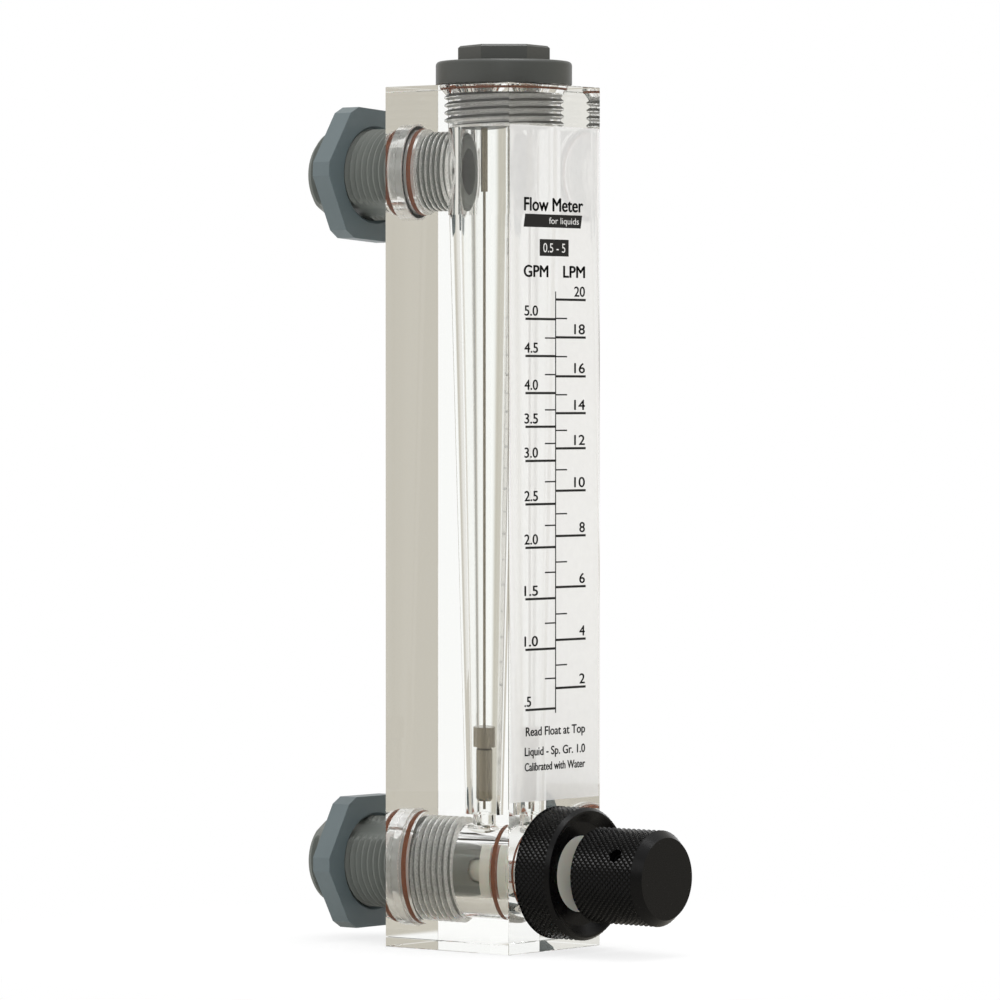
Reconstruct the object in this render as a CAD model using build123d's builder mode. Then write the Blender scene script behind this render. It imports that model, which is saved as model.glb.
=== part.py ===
from build123d import *
import math
import os

# Acrylic variable-area flow meter for panel mounting.
# Millimetres. +Z up, the scale and the knob face -Y, the pipe connections face +Y.
# The origin is the centre of the block's base.

os.makedirs("parts", exist_ok=True)

# Clearances
STATIC_FIT = 0.05          # radial, between pieces that stay put
RUNNING_FIT = 0.08         # radial, between pieces that move on each other
SEAT_GAP = 0.05            # between a piece and the shoulder that stops it

# Threads, drawn as rings: a flat crest, then a V groove, once for every pitch
THREAD_DEPTH_SHARE = 0.54  # of the pitch
THREAD_CREST_SHARE = 0.125
PLUG_PITCH = 1.814
STUD_PITCH = 1.814
INLET_PITCH = 1.814
OUTLET_PITCH = 1.588

# Acrylic block
BLOCK_WIDTH = 34.925
BLOCK_DEPTH = 38.1
BLOCK_HEIGHT = 206.4
BLOCK_EDGE = 0.25

# Heights of the two connections
VALVE_Z = 18.68            # inlet and valve axis above the base
OUTLET_DROP = 20.2         # outlet axis below the top face

# Metering bore, vertical
BORE_SETBACK = 15.6        # axis behind the front face
CHAMBER_R = 10.1
CHAMBER_BELOW_OUTLET = 10.6
TUBE_TOP_R = 9.8
TUBE_BOTTOM_R = 5.27
TUBE_LAND = 2.2            # acrylic left between the tube and the valve chamber
PASSAGE_R = 3.2

# Top plug
PLUG_THREAD_R = 11.11
PLUG_THREAD_LENGTH = 10.0
PLUG_STAND_OFF = 0.3       # flange above the block, carried by the seal
PLUG_FLANGE_R = 16.35
PLUG_FLANGE_THICKNESS = 5.7
PLUG_FLANGE_ROUND = 1.0
PLUG_HEX_FLATS = 19.05
PLUG_HEX_HEIGHT = 3.8
PLUG_HEX_TURN = 9.0        # degrees
PLUG_HEX_CHAMFER = 0.5
PLUG_SEAL_CORD_R = 0.6
COUNTERSINK_DEPTH = 1.8

# Guide rod, its stops and the float
ROD_R = 0.575
ROD_SOCKET = 8.0           # length held in the plug
ROD_TAIL = 1.0             # rod end above the bottom of the tube
UPPER_STOP_R = 1.4
UPPER_STOP_LENGTH = 15.2
END_STOP_R = 1.1
END_STOP_HEIGHT = 1.3
END_STOP_ABOVE_TAIL = 2.2
FLOAT_BODY_R = 3.4
FLOAT_BODY_HEIGHT = 13.0
FLOAT_HEAD_R = 4.6
FLOAT_HEAD_HEIGHT = 4.7
FLOAT_NECK_DEPTH = 0.4
FLOAT_CHAMFER = 0.6
FLOAT_POCKET_R = 1.5
FLOAT_POCKET_DEPTH = 1.5

# Rear connections: studs with an outer thread for the panel nut
STUD_R = 11.11
STUD_REACH = 30.95         # behind the rear face
STUD_BORE_R = 5.55
STUD_END_CHAMFER = 0.9
STUD_FLAT_DEPTH = 1.2      # two flats along the outer thread, on opposite sides
INLET_FLAT_ANGLE = 57.0    # degrees above the horizontal, on the -X side
OUTLET_FLAT_ANGLE = -62.0
SOCKET_R = 7.35            # pipe socket at the rear end
SOCKET_DEPTH = 14.0
SEAL_POCKET_DEPTH = 5.25   # pocket in the rear face for seal and shoulder
SHOULDER_DEPTH = 2.15      # how deep in the pocket the stud's shoulder stands
POCKET_CLEARANCE = 0.5     # radial, pocket round the seal or the stud
SHOULDER_INSET = 0.3       # shoulder inside the seal's outer edge
INLET_THREAD_R = 12.7
INLET_INSERTION = 17.95    # inner end in front of the rear face
INLET_SEAL_CORD_R = 1.5
INLET_SEAL_OUTER_R = 13.7
OUTLET_THREAD_R = 9.525
OUTLET_INSERTION = 14.45
OUTLET_SEAL_CORD_R = 1.35
OUTLET_SEAL_OUTER_R = 10.5
INLET_END_CHAMFER = 0.8
OUTLET_END_CHAMFER = 0.6
SEAT_R = 5.35              # hole that the needle closes, in the inlet stud
SEAT_LENGTH = 4.0

# Panel nuts
NUT_FLATS = 31.9
NUT_CORNER_REACH = 17.45   # axis to the cut corners
NUT_THICKNESS = 5.2
NUT_STAND_OFF = 17.75      # between the rear face and the nut
NUT_COUNTERSINK = 0.7
OUTLET_NUT_TURN = 3.5      # degrees

# Valve cartridge in the front of the block
VALVE_BORE_R = 11.4
CARTRIDGE_R = 11.3
CARTRIDGE_INSERTION = 12.05
CARTRIDGE_THREAD_R = 11.85
CARTRIDGE_THREAD_LENGTH = 3.6
CARTRIDGE_SEAL_CORD_R = 1.2
CARTRIDGE_SEAL_DEPTH = 7.75    # centre of the seal behind the front face
NOSE_R = 9.05
NOSE_LENGTH = 7.95
NEEDLE_POCKET_R = 5.8
NEEDLE_POCKET_DEPTH = 6.5

# Retaining ring
RING_R = 15.875
RING_LENGTH = 10.25
RING_DISH_R = 14.6
RING_DISH_DEPTH = 2.3
RING_DISH_FLOOR_R = 12.3    # clears the back of the knob at the end of its travel
RING_CHAMFER = 0.8

# Needle, stem and knob
NEEDLE_R = 5.3
NEEDLE_LENGTH = 4.0        # straight part behind the cone
NEEDLE_AT_SEAT_R = 4.6     # radius of the cone where it enters the seat, as shown
NEEDLE_REACH = 5.0         # cone past the mouth of the seat
NEEDLE_TAPER = 0.15        # radius lost for each millimetre
STEM_R = 3.7
STEM_SEAL_CORD_R = 0.6
STEM_SEAL_OUTER_R = 3.75
STEM_SEAL_LEAD = 0.95      # seal in front of the block's front face
STEM_IN_KNOB = 15.3
KNOB_R = 11.45
KNOB_LENGTH = 20.6
KNOB_GAP = 5.2             # knob in front of the cartridge nose
KNOB_CHAMFER_AXIAL = 2.1
KNOB_CHAMFER_RADIAL = 1.7
KNOB_BORE_END = 0.5        # knob bore past the end of the stem
SCREW_R = 1.6
SCREW_LENGTH = 5.6
SCREW_FROM_KNOB_BACK = 12.6
SCREW_ANGLE = 31.0         # degrees above the horizontal, on the -X side

# Places that follow from the sizes above
FRONT_Y = -BLOCK_DEPTH / 2
REAR_Y = BLOCK_DEPTH / 2
METER_Y = FRONT_Y + BORE_SETBACK
OUTLET_Z = BLOCK_HEIGHT - OUTLET_DROP
CHAMBER_FLOOR_Z = OUTLET_Z - CHAMBER_BELOW_OUTLET
TUBE_BOTTOM_Z = VALVE_Z + VALVE_BORE_R + TUBE_LAND
PLUG_BOTTOM_Z = BLOCK_HEIGHT - PLUG_THREAD_LENGTH
PLUG_THREAD_END_Z = BLOCK_HEIGHT - COUNTERSINK_DEPTH
FLANGE_Z = BLOCK_HEIGHT + PLUG_STAND_OFF
FLANGE_TOP_Z = FLANGE_Z + PLUG_FLANGE_THICKNESS
POCKET_FLOOR_Y = REAR_Y - SEAL_POCKET_DEPTH
INLET_POCKET_R = INLET_SEAL_OUTER_R + POCKET_CLEARANCE
INLET_SHOULDER_R = INLET_SEAL_OUTER_R - SHOULDER_INSET
OUTLET_POCKET_R = max(STUD_R, OUTLET_SEAL_OUTER_R) + POCKET_CLEARANCE
SHOULDER_Y = REAR_Y - SHOULDER_DEPTH
STUD_END_Y = REAR_Y + STUD_REACH
INLET_END_Y = REAR_Y - INLET_INSERTION
OUTLET_END_Y = REAR_Y - OUTLET_INSERTION
CARTRIDGE_END_Y = FRONT_Y + CARTRIDGE_INSERTION
CARTRIDGE_THREAD_Y = FRONT_Y + CARTRIDGE_THREAD_LENGTH
NOSE_Y = FRONT_Y - NOSE_LENGTH
KNOB_BACK_Y = NOSE_Y - KNOB_GAP
KNOB_FRONT_Y = KNOB_BACK_Y - KNOB_LENGTH

# Section planes: local x is the radius, local y runs along the axis
METER_SECTION = Plane.XZ.offset(-METER_Y)
METER_AXIS = Axis((0, METER_Y, 0), (0, 0, 1))
VALVE_SECTION = Plane.XY.offset(VALVE_Z)
VALVE_AXIS = Axis((0, 0, VALVE_Z), (0, 1, 0))
OUTLET_SECTION = Plane.XY.offset(OUTLET_Z)
OUTLET_AXIS = Axis((0, 0, OUTLET_Z), (0, 1, 0))


def seal_ring(section, axis, outer_r, cord_r, place):
    """O-ring round an axis, its cord centred at one place along it."""
    with BuildPart() as ring:
        with BuildSketch(section):
            with Locations((outer_r - cord_r, place)):
                Circle(cord_r)
        revolve(axis=axis)
    return ring


def thread_section(crest_r, pitch, start, end):
    """Section points of a thread along an axis, whole turns from its start."""
    turns = int((end - start) / pitch)
    points = []
    for turn in range(turns):
        place = start + turn * pitch
        points.append((crest_r, place))
        points.append((crest_r, place + THREAD_CREST_SHARE * pitch))
        points.append((crest_r - THREAD_DEPTH_SHARE * pitch, place + (1 + THREAD_CREST_SHARE) * pitch / 2))
    points.append((crest_r, start + turns * pitch))
    return points


def stud_flats(axis_z, angle):
    """What is milled off a stud's outer thread to leave two opposite flats."""
    outward = (-math.cos(math.radians(angle)), 0, math.sin(math.radians(angle)))
    face = Plane(origin=(0, REAR_Y, axis_z), x_dir=outward, z_dir=(0, 1, 0))
    with BuildPart() as milled:
        with BuildSketch(face):
            Rectangle(4 * STUD_R, 4 * STUD_R)
            Rectangle(2 * (STUD_R - STUD_FLAT_DEPTH), 4 * STUD_R, mode=Mode.SUBTRACT)
        extrude(amount=STUD_REACH)
    return milled


def panel_nut(axis_z, turn):
    """Hexagon nut with cut corners, on a stud behind the block."""
    face = Plane(origin=(0, REAR_Y + NUT_STAND_OFF, axis_z), x_dir=(1, 0, 0), z_dir=(0, 1, 0))
    bore_r = STUD_R + RUNNING_FIT
    with BuildPart() as nut:
        with BuildSketch(face):
            RegularPolygon(NUT_FLATS / 2, 6, major_radius=False, rotation=turn)
            RegularPolygon(NUT_CORNER_REACH, 6, major_radius=False, rotation=turn + 30, mode=Mode.INTERSECT)
            Circle(bore_r, mode=Mode.SUBTRACT)
        extrude(amount=NUT_THICKNESS)
        chamfer(nut.edges().filter_by(GeomType.CIRCLE), NUT_COUNTERSINK)
    return nut


# The block, drilled from the top, the rear and the front
SEAL_STEP_R = PLUG_THREAD_R + STATIC_FIT
with BuildPart() as meter_body:
    with BuildSketch(Plane.XY):
        Rectangle(BLOCK_WIDTH, BLOCK_DEPTH)
    extrude(amount=BLOCK_HEIGHT)
    chamfer(meter_body.edges(), BLOCK_EDGE)
    with BuildSketch(METER_SECTION):
        with BuildLine():
            Polyline(
                (0, VALVE_Z),
                (PASSAGE_R, VALVE_Z),
                (PASSAGE_R, TUBE_BOTTOM_Z),
                (TUBE_BOTTOM_R, TUBE_BOTTOM_Z),
                (TUBE_TOP_R, CHAMBER_FLOOR_Z),
                (CHAMBER_R, CHAMBER_FLOOR_Z),
                (CHAMBER_R, PLUG_BOTTOM_Z),
                (SEAL_STEP_R, PLUG_BOTTOM_Z),
                (SEAL_STEP_R, BLOCK_HEIGHT - COUNTERSINK_DEPTH),
                (SEAL_STEP_R + COUNTERSINK_DEPTH, BLOCK_HEIGHT),
                (0, BLOCK_HEIGHT),
                close=True,
            )
        make_face()
    revolve(axis=METER_AXIS, mode=Mode.SUBTRACT)
    with BuildSketch(VALVE_SECTION):
        with BuildLine():
            Polyline(
                (0, FRONT_Y),
                (CARTRIDGE_THREAD_R + STATIC_FIT, FRONT_Y),
                (CARTRIDGE_THREAD_R + STATIC_FIT, CARTRIDGE_THREAD_Y),
                (VALVE_BORE_R, CARTRIDGE_THREAD_Y),
                (VALVE_BORE_R, INLET_END_Y - SEAT_GAP),
                (INLET_THREAD_R + STATIC_FIT, INLET_END_Y - SEAT_GAP),
                (INLET_THREAD_R + STATIC_FIT, POCKET_FLOOR_Y),
                (INLET_POCKET_R, POCKET_FLOOR_Y),
                (INLET_POCKET_R, REAR_Y),
                (0, REAR_Y),
                close=True,
            )
        make_face()
    revolve(axis=VALVE_AXIS, mode=Mode.SUBTRACT)
    with BuildSketch(OUTLET_SECTION):
        with BuildLine():
            Polyline(
                (0, METER_Y),
                (OUTLET_THREAD_R + STATIC_FIT, METER_Y),
                (OUTLET_THREAD_R + STATIC_FIT, POCKET_FLOOR_Y),
                (OUTLET_POCKET_R, POCKET_FLOOR_Y),
                (OUTLET_POCKET_R, REAR_Y),
                (0, REAR_Y),
                close=True,
            )
        make_face()
    revolve(axis=OUTLET_AXIS, mode=Mode.SUBTRACT)
meter_body.part.label = "meter_body"
export_step(meter_body.part, "parts/meter_body.step")

# Top plug: thread, flange and hexagon head, with a blind socket for the rod
with BuildPart() as top_plug:
    with BuildSketch(METER_SECTION):
        with BuildLine():
            Polyline(
                (0, PLUG_BOTTOM_Z + ROD_SOCKET),
                (ROD_R + STATIC_FIT, PLUG_BOTTOM_Z + ROD_SOCKET),
                (ROD_R + STATIC_FIT, PLUG_BOTTOM_Z),
                *thread_section(PLUG_THREAD_R, PLUG_PITCH, PLUG_BOTTOM_Z, PLUG_THREAD_END_Z),
                (PLUG_THREAD_R, FLANGE_Z),
                (PLUG_FLANGE_R, FLANGE_Z),
                (PLUG_FLANGE_R, FLANGE_TOP_Z),
                (0, FLANGE_TOP_Z),
                close=True,
            )
        make_face()
    revolve(axis=METER_AXIS)
    flange_rim = top_plug.edges().filter_by(GeomType.CIRCLE).group_by(Axis.Z)[-1]
    fillet(flange_rim, PLUG_FLANGE_ROUND)
    with BuildSketch(Plane((0, METER_Y, FLANGE_TOP_Z))):
        RegularPolygon(PLUG_HEX_FLATS / 2, 6, major_radius=False, rotation=PLUG_HEX_TURN)
    extrude(amount=PLUG_HEX_HEIGHT)
    chamfer(top_plug.faces().sort_by(Axis.Z)[-1].edges(), PLUG_HEX_CHAMFER)
top_plug.part.label = "top_plug"
export_step(top_plug.part, "parts/top_plug.step")

top_plug_seal = seal_ring(
    METER_SECTION,
    METER_AXIS,
    PLUG_THREAD_R + STATIC_FIT + 2 * PLUG_SEAL_CORD_R,
    PLUG_SEAL_CORD_R,
    FLANGE_Z - PLUG_SEAL_CORD_R,
)
top_plug_seal.part.label = "top_plug_seal"
export_step(top_plug_seal.part, "parts/top_plug_seal.step")

# Guide rod, from its socket in the plug down to just above the bottom of the tube
ROD_BOTTOM_Z = TUBE_BOTTOM_Z + ROD_TAIL
ROD_TOP_Z = PLUG_BOTTOM_Z + ROD_SOCKET
with BuildPart() as guide_rod:
    with BuildSketch(Plane((0, METER_Y, ROD_BOTTOM_Z))):
        Circle(ROD_R)
    extrude(amount=ROD_TOP_Z - ROD_BOTTOM_Z)
guide_rod.part.label = "guide_rod"
export_step(guide_rod.part, "parts/guide_rod.step")

# Sleeve under the plug that stops the float at the top
with BuildPart() as upper_stop:
    with BuildSketch(Plane((0, METER_Y, PLUG_BOTTOM_Z))):
        Circle(UPPER_STOP_R)
        Circle(ROD_R + STATIC_FIT, mode=Mode.SUBTRACT)
    extrude(amount=-UPPER_STOP_LENGTH)
upper_stop.part.label = "upper_stop"
export_step(upper_stop.part, "parts/upper_stop.step")

# Collar near the rod's foot that the float sits on
END_STOP_Z = ROD_BOTTOM_Z + END_STOP_ABOVE_TAIL
with BuildPart() as rod_end_stop:
    with BuildSketch(Plane((0, METER_Y, END_STOP_Z))):
        Circle(END_STOP_R)
        Circle(ROD_R + STATIC_FIT, mode=Mode.SUBTRACT)
    extrude(amount=END_STOP_HEIGHT)
rod_end_stop.part.label = "rod_end_stop"
export_step(rod_end_stop.part, "parts/rod_end_stop.step")

# Float: a slim body under a wider head, bored for the rod, with a pocket over the collar
FLOAT_BOTTOM_Z = END_STOP_Z + END_STOP_HEIGHT + SEAT_GAP - FLOAT_POCKET_DEPTH
FLOAT_NECK_Z = FLOAT_BOTTOM_Z + FLOAT_BODY_HEIGHT
FLOAT_TOP_Z = FLOAT_NECK_Z + FLOAT_HEAD_HEIGHT
with BuildPart() as float_piece:
    with BuildSketch(METER_SECTION):
        with BuildLine():
            Polyline(
                (FLOAT_POCKET_R, FLOAT_BOTTOM_Z),
                (FLOAT_BODY_R - FLOAT_CHAMFER, FLOAT_BOTTOM_Z),
                (FLOAT_BODY_R, FLOAT_BOTTOM_Z + FLOAT_CHAMFER),
                (FLOAT_BODY_R, FLOAT_NECK_Z - 2 * FLOAT_NECK_DEPTH),
                (FLOAT_BODY_R - FLOAT_NECK_DEPTH, FLOAT_NECK_Z - FLOAT_NECK_DEPTH),
                (FLOAT_BODY_R - FLOAT_NECK_DEPTH, FLOAT_NECK_Z),
                (FLOAT_HEAD_R, FLOAT_NECK_Z),
                (FLOAT_HEAD_R, FLOAT_TOP_Z),
                (ROD_R + RUNNING_FIT, FLOAT_TOP_Z),
                (ROD_R + RUNNING_FIT, FLOAT_BOTTOM_Z + FLOAT_POCKET_DEPTH),
                (FLOAT_POCKET_R, FLOAT_BOTTOM_Z + FLOAT_POCKET_DEPTH),
                close=True,
            )
        make_face()
    revolve(axis=METER_AXIS)
float_piece.part.label = "float"
export_step(float_piece.part, "parts/float.step")

# Inlet stud: its inner end holds the seat that the needle closes
with BuildPart() as inlet_stud:
    with BuildSketch(VALVE_SECTION):
        with BuildLine():
            Polyline(
                (SEAT_R, INLET_END_Y),
                (INLET_THREAD_R - INLET_END_CHAMFER, INLET_END_Y),
                *thread_section(INLET_THREAD_R, INLET_PITCH, INLET_END_Y + INLET_END_CHAMFER, POCKET_FLOOR_Y),
                (INLET_THREAD_R, POCKET_FLOOR_Y),
                (INLET_SEAL_OUTER_R - 2 * INLET_SEAL_CORD_R - STATIC_FIT, POCKET_FLOOR_Y),
                (INLET_SEAL_OUTER_R - 2 * INLET_SEAL_CORD_R - STATIC_FIT, SHOULDER_Y),
                (INLET_SHOULDER_R, SHOULDER_Y),
                (INLET_SHOULDER_R, REAR_Y),
                *thread_section(STUD_R, STUD_PITCH, REAR_Y, STUD_END_Y - STUD_END_CHAMFER),
                (STUD_R, STUD_END_Y - STUD_END_CHAMFER),
                (STUD_R - STUD_END_CHAMFER, STUD_END_Y),
                (SOCKET_R, STUD_END_Y),
                (SOCKET_R, STUD_END_Y - SOCKET_DEPTH),
                (STUD_BORE_R, STUD_END_Y - SOCKET_DEPTH),
                (STUD_BORE_R, INLET_END_Y + SEAT_LENGTH),
                (SEAT_R, INLET_END_Y + SEAT_LENGTH),
                close=True,
            )
        make_face()
    revolve(axis=VALVE_AXIS)
    add(stud_flats(VALVE_Z, INLET_FLAT_ANGLE).part, mode=Mode.SUBTRACT)
inlet_stud.part.label = "inlet_stud"
export_step(inlet_stud.part, "parts/inlet_stud.step")

inlet_stud_seal = seal_ring(
    VALVE_SECTION,
    VALVE_AXIS,
    INLET_SEAL_OUTER_R,
    INLET_SEAL_CORD_R,
    (POCKET_FLOOR_Y + SHOULDER_Y) / 2,
)
inlet_stud_seal.part.label = "inlet_stud_seal"
export_step(inlet_stud_seal.part, "parts/inlet_stud_seal.step")

inlet_panel_nut = panel_nut(VALVE_Z, 0)
inlet_panel_nut.part.label = "inlet_panel_nut"
export_step(inlet_panel_nut.part, "parts/inlet_panel_nut.step")

# Outlet stud: a smaller block thread, open to the chamber
with BuildPart() as outlet_stud:
    with BuildSketch(OUTLET_SECTION):
        with BuildLine():
            Polyline(
                (STUD_BORE_R, OUTLET_END_Y),
                (OUTLET_THREAD_R - OUTLET_END_CHAMFER, OUTLET_END_Y),
                *thread_section(OUTLET_THREAD_R, OUTLET_PITCH, OUTLET_END_Y + OUTLET_END_CHAMFER, POCKET_FLOOR_Y),
                (OUTLET_THREAD_R, POCKET_FLOOR_Y),
                (OUTLET_SEAL_OUTER_R - 2 * OUTLET_SEAL_CORD_R - STATIC_FIT, POCKET_FLOOR_Y),
                (OUTLET_SEAL_OUTER_R - 2 * OUTLET_SEAL_CORD_R - STATIC_FIT, SHOULDER_Y),
                (STUD_R, SHOULDER_Y),
                *thread_section(STUD_R, STUD_PITCH, REAR_Y, STUD_END_Y - STUD_END_CHAMFER),
                (STUD_R, STUD_END_Y - STUD_END_CHAMFER),
                (STUD_R - STUD_END_CHAMFER, STUD_END_Y),
                (SOCKET_R, STUD_END_Y),
                (SOCKET_R, STUD_END_Y - SOCKET_DEPTH),
                (STUD_BORE_R, STUD_END_Y - SOCKET_DEPTH),
                close=True,
            )
        make_face()
    revolve(axis=OUTLET_AXIS)
    add(stud_flats(OUTLET_Z, OUTLET_FLAT_ANGLE).part, mode=Mode.SUBTRACT)
outlet_stud.part.label = "outlet_stud"
export_step(outlet_stud.part, "parts/outlet_stud.step")

outlet_stud_seal = seal_ring(
    OUTLET_SECTION,
    OUTLET_AXIS,
    OUTLET_SEAL_OUTER_R,
    OUTLET_SEAL_CORD_R,
    (POCKET_FLOOR_Y + SHOULDER_Y) / 2,
)
outlet_stud_seal.part.label = "outlet_stud_seal"
export_step(outlet_stud_seal.part, "parts/outlet_stud_seal.step")

outlet_panel_nut = panel_nut(OUTLET_Z, OUTLET_NUT_TURN)
outlet_panel_nut.part.label = "outlet_panel_nut"
export_step(outlet_panel_nut.part, "parts/outlet_panel_nut.step")

# Valve cartridge: screwed into the front of the block, grooved for its seal, with a
# pocket that the needle draws back into and a nose that carries the retaining ring
CARTRIDGE_SEAL_Y = FRONT_Y + CARTRIDGE_SEAL_DEPTH
CARTRIDGE_GROOVE_R = VALVE_BORE_R - 2 * CARTRIDGE_SEAL_CORD_R - 2 * STATIC_FIT
CARTRIDGE_GROOVE_HALF = CARTRIDGE_SEAL_CORD_R + SEAT_GAP
with BuildPart() as valve_cartridge:
    with BuildSketch(VALVE_SECTION):
        with BuildLine():
            Polyline(
                (STEM_R + RUNNING_FIT, NOSE_Y),
                (NOSE_R, NOSE_Y),
                (NOSE_R, FRONT_Y),
                (CARTRIDGE_THREAD_R, FRONT_Y),
                (CARTRIDGE_THREAD_R, CARTRIDGE_THREAD_Y - SEAT_GAP),
                (CARTRIDGE_R, CARTRIDGE_THREAD_Y - SEAT_GAP),
                (CARTRIDGE_R, CARTRIDGE_SEAL_Y - CARTRIDGE_GROOVE_HALF),
                (CARTRIDGE_GROOVE_R, CARTRIDGE_SEAL_Y - CARTRIDGE_GROOVE_HALF),
                (CARTRIDGE_GROOVE_R, CARTRIDGE_SEAL_Y + CARTRIDGE_GROOVE_HALF),
                (CARTRIDGE_R, CARTRIDGE_SEAL_Y + CARTRIDGE_GROOVE_HALF),
                (CARTRIDGE_R, CARTRIDGE_END_Y),
                (NEEDLE_POCKET_R, CARTRIDGE_END_Y),
                (NEEDLE_POCKET_R, CARTRIDGE_END_Y - NEEDLE_POCKET_DEPTH),
                (STEM_R + RUNNING_FIT, CARTRIDGE_END_Y - NEEDLE_POCKET_DEPTH),
                close=True,
            )
        make_face()
    revolve(axis=VALVE_AXIS)
valve_cartridge.part.label = "valve_cartridge"
export_step(valve_cartridge.part, "parts/valve_cartridge.step")

valve_cartridge_seal = seal_ring(
    VALVE_SECTION,
    VALVE_AXIS,
    VALVE_BORE_R - STATIC_FIT,
    CARTRIDGE_SEAL_CORD_R,
    CARTRIDGE_SEAL_Y,
)
valve_cartridge_seal.part.label = "valve_cartridge_seal"
export_step(valve_cartridge_seal.part, "parts/valve_cartridge_seal.step")

# Retaining ring: knurled, dished to its hole on the cartridge nose, tight against the block
with BuildPart() as retaining_ring:
    with BuildSketch(VALVE_SECTION):
        with BuildLine():
            Polyline(
                (NOSE_R + STATIC_FIT, FRONT_Y),
                (RING_R - RING_CHAMFER / 2, FRONT_Y),
                (RING_R, FRONT_Y - RING_CHAMFER / 2),
                (RING_R, FRONT_Y - RING_LENGTH + RING_CHAMFER),
                (RING_R - RING_CHAMFER, FRONT_Y - RING_LENGTH),
                (RING_DISH_R, FRONT_Y - RING_LENGTH),
                (RING_DISH_FLOOR_R, FRONT_Y - RING_LENGTH + RING_DISH_DEPTH),
                (NOSE_R + STATIC_FIT, FRONT_Y - RING_LENGTH + RING_DISH_DEPTH),
                close=True,
            )
        make_face()
    revolve(axis=VALVE_AXIS)
retaining_ring.part.label = "retaining_ring"
export_step(retaining_ring.part, "parts/retaining_ring.step")

# Valve stem: needle cone, straight needle, then the stem with its seal groove
CONE_TIP_Y = INLET_END_Y + NEEDLE_REACH
CONE_TIP_R = NEEDLE_AT_SEAT_R - NEEDLE_TAPER * NEEDLE_REACH
CONE_BASE_Y = INLET_END_Y - (NEEDLE_R - NEEDLE_AT_SEAT_R) / NEEDLE_TAPER
STEM_SEAL_Y = FRONT_Y - STEM_SEAL_LEAD
STEM_GROOVE_R = STEM_SEAL_OUTER_R - 2 * STEM_SEAL_CORD_R - STATIC_FIT
STEM_GROOVE_HALF = STEM_SEAL_CORD_R + SEAT_GAP
STEM_END_Y = KNOB_BACK_Y - STEM_IN_KNOB
with BuildPart() as valve_stem:
    with BuildSketch(VALVE_SECTION):
        with BuildLine():
            Polyline(
                (0, STEM_END_Y),
                (STEM_R, STEM_END_Y),
                (STEM_R, STEM_SEAL_Y - STEM_GROOVE_HALF),
                (STEM_GROOVE_R, STEM_SEAL_Y - STEM_GROOVE_HALF),
                (STEM_GROOVE_R, STEM_SEAL_Y + STEM_GROOVE_HALF),
                (STEM_R, STEM_SEAL_Y + STEM_GROOVE_HALF),
                (STEM_R, CONE_BASE_Y - NEEDLE_LENGTH),
                (NEEDLE_R, CONE_BASE_Y - NEEDLE_LENGTH),
                (NEEDLE_R, CONE_BASE_Y),
                (CONE_TIP_R, CONE_TIP_Y),
                (0, CONE_TIP_Y),
                close=True,
            )
        make_face()
    revolve(axis=VALVE_AXIS)
valve_stem.part.label = "valve_stem"
export_step(valve_stem.part, "parts/valve_stem.step")

valve_stem_seal = seal_ring(
    VALVE_SECTION,
    VALVE_AXIS,
    STEM_SEAL_OUTER_R,
    STEM_SEAL_CORD_R,
    STEM_SEAL_Y,
)
valve_stem_seal.part.label = "valve_stem_seal"
export_step(valve_stem_seal.part, "parts/valve_stem_seal.step")

# Set screw direction, out of the side of the knob
SCREW_DIRECTION = Vector(-math.cos(math.radians(SCREW_ANGLE)), 0, math.sin(math.radians(SCREW_ANGLE)))
SCREW_CENTRE = Vector(0, KNOB_BACK_Y - SCREW_FROM_KNOB_BACK, VALVE_Z)
SCREW_PLANE = Plane(origin=SCREW_CENTRE, x_dir=(0, 1, 0), z_dir=SCREW_DIRECTION)

# Knob: chamfered at the front, bored for the stem and drilled for the set screw
with BuildPart() as valve_knob:
    with BuildSketch(VALVE_SECTION):
        with BuildLine():
            Polyline(
                (STEM_R + STATIC_FIT, KNOB_BACK_Y),
                (KNOB_R, KNOB_BACK_Y),
                (KNOB_R, KNOB_FRONT_Y + KNOB_CHAMFER_AXIAL),
                (KNOB_R - KNOB_CHAMFER_RADIAL, KNOB_FRONT_Y),
                (0, KNOB_FRONT_Y),
                (0, STEM_END_Y - KNOB_BORE_END),
                (STEM_R + STATIC_FIT, STEM_END_Y - KNOB_BORE_END),
                close=True,
            )
        make_face()
    revolve(axis=VALVE_AXIS)
    with BuildSketch(SCREW_PLANE):
        Circle(SCREW_R + STATIC_FIT)
    extrude(amount=2 * KNOB_R, mode=Mode.SUBTRACT)
valve_knob.part.label = "valve_knob"
export_step(valve_knob.part, "parts/valve_knob.step")

# Set screw, tight on the stem
with BuildPart() as knob_set_screw:
    with BuildSketch(SCREW_PLANE.offset(STEM_R + SEAT_GAP)):
        Circle(SCREW_R)
    extrude(amount=SCREW_LENGTH)
knob_set_screw.part.label = "knob_set_screw"
export_step(knob_set_screw.part, "parts/knob_set_screw.step")
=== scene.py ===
# %% [markdown]
# # An acrylic flow meter, dressed
# The solid model comes in as a fixed frame. This lesson puts threads, knurling, a printed
# scale and real materials on it. Lengths are written in millimetres and turned to metres
# when a mesh is made.

import math

import bmesh
import bpy
from mathutils import Matrix, Vector


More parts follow.
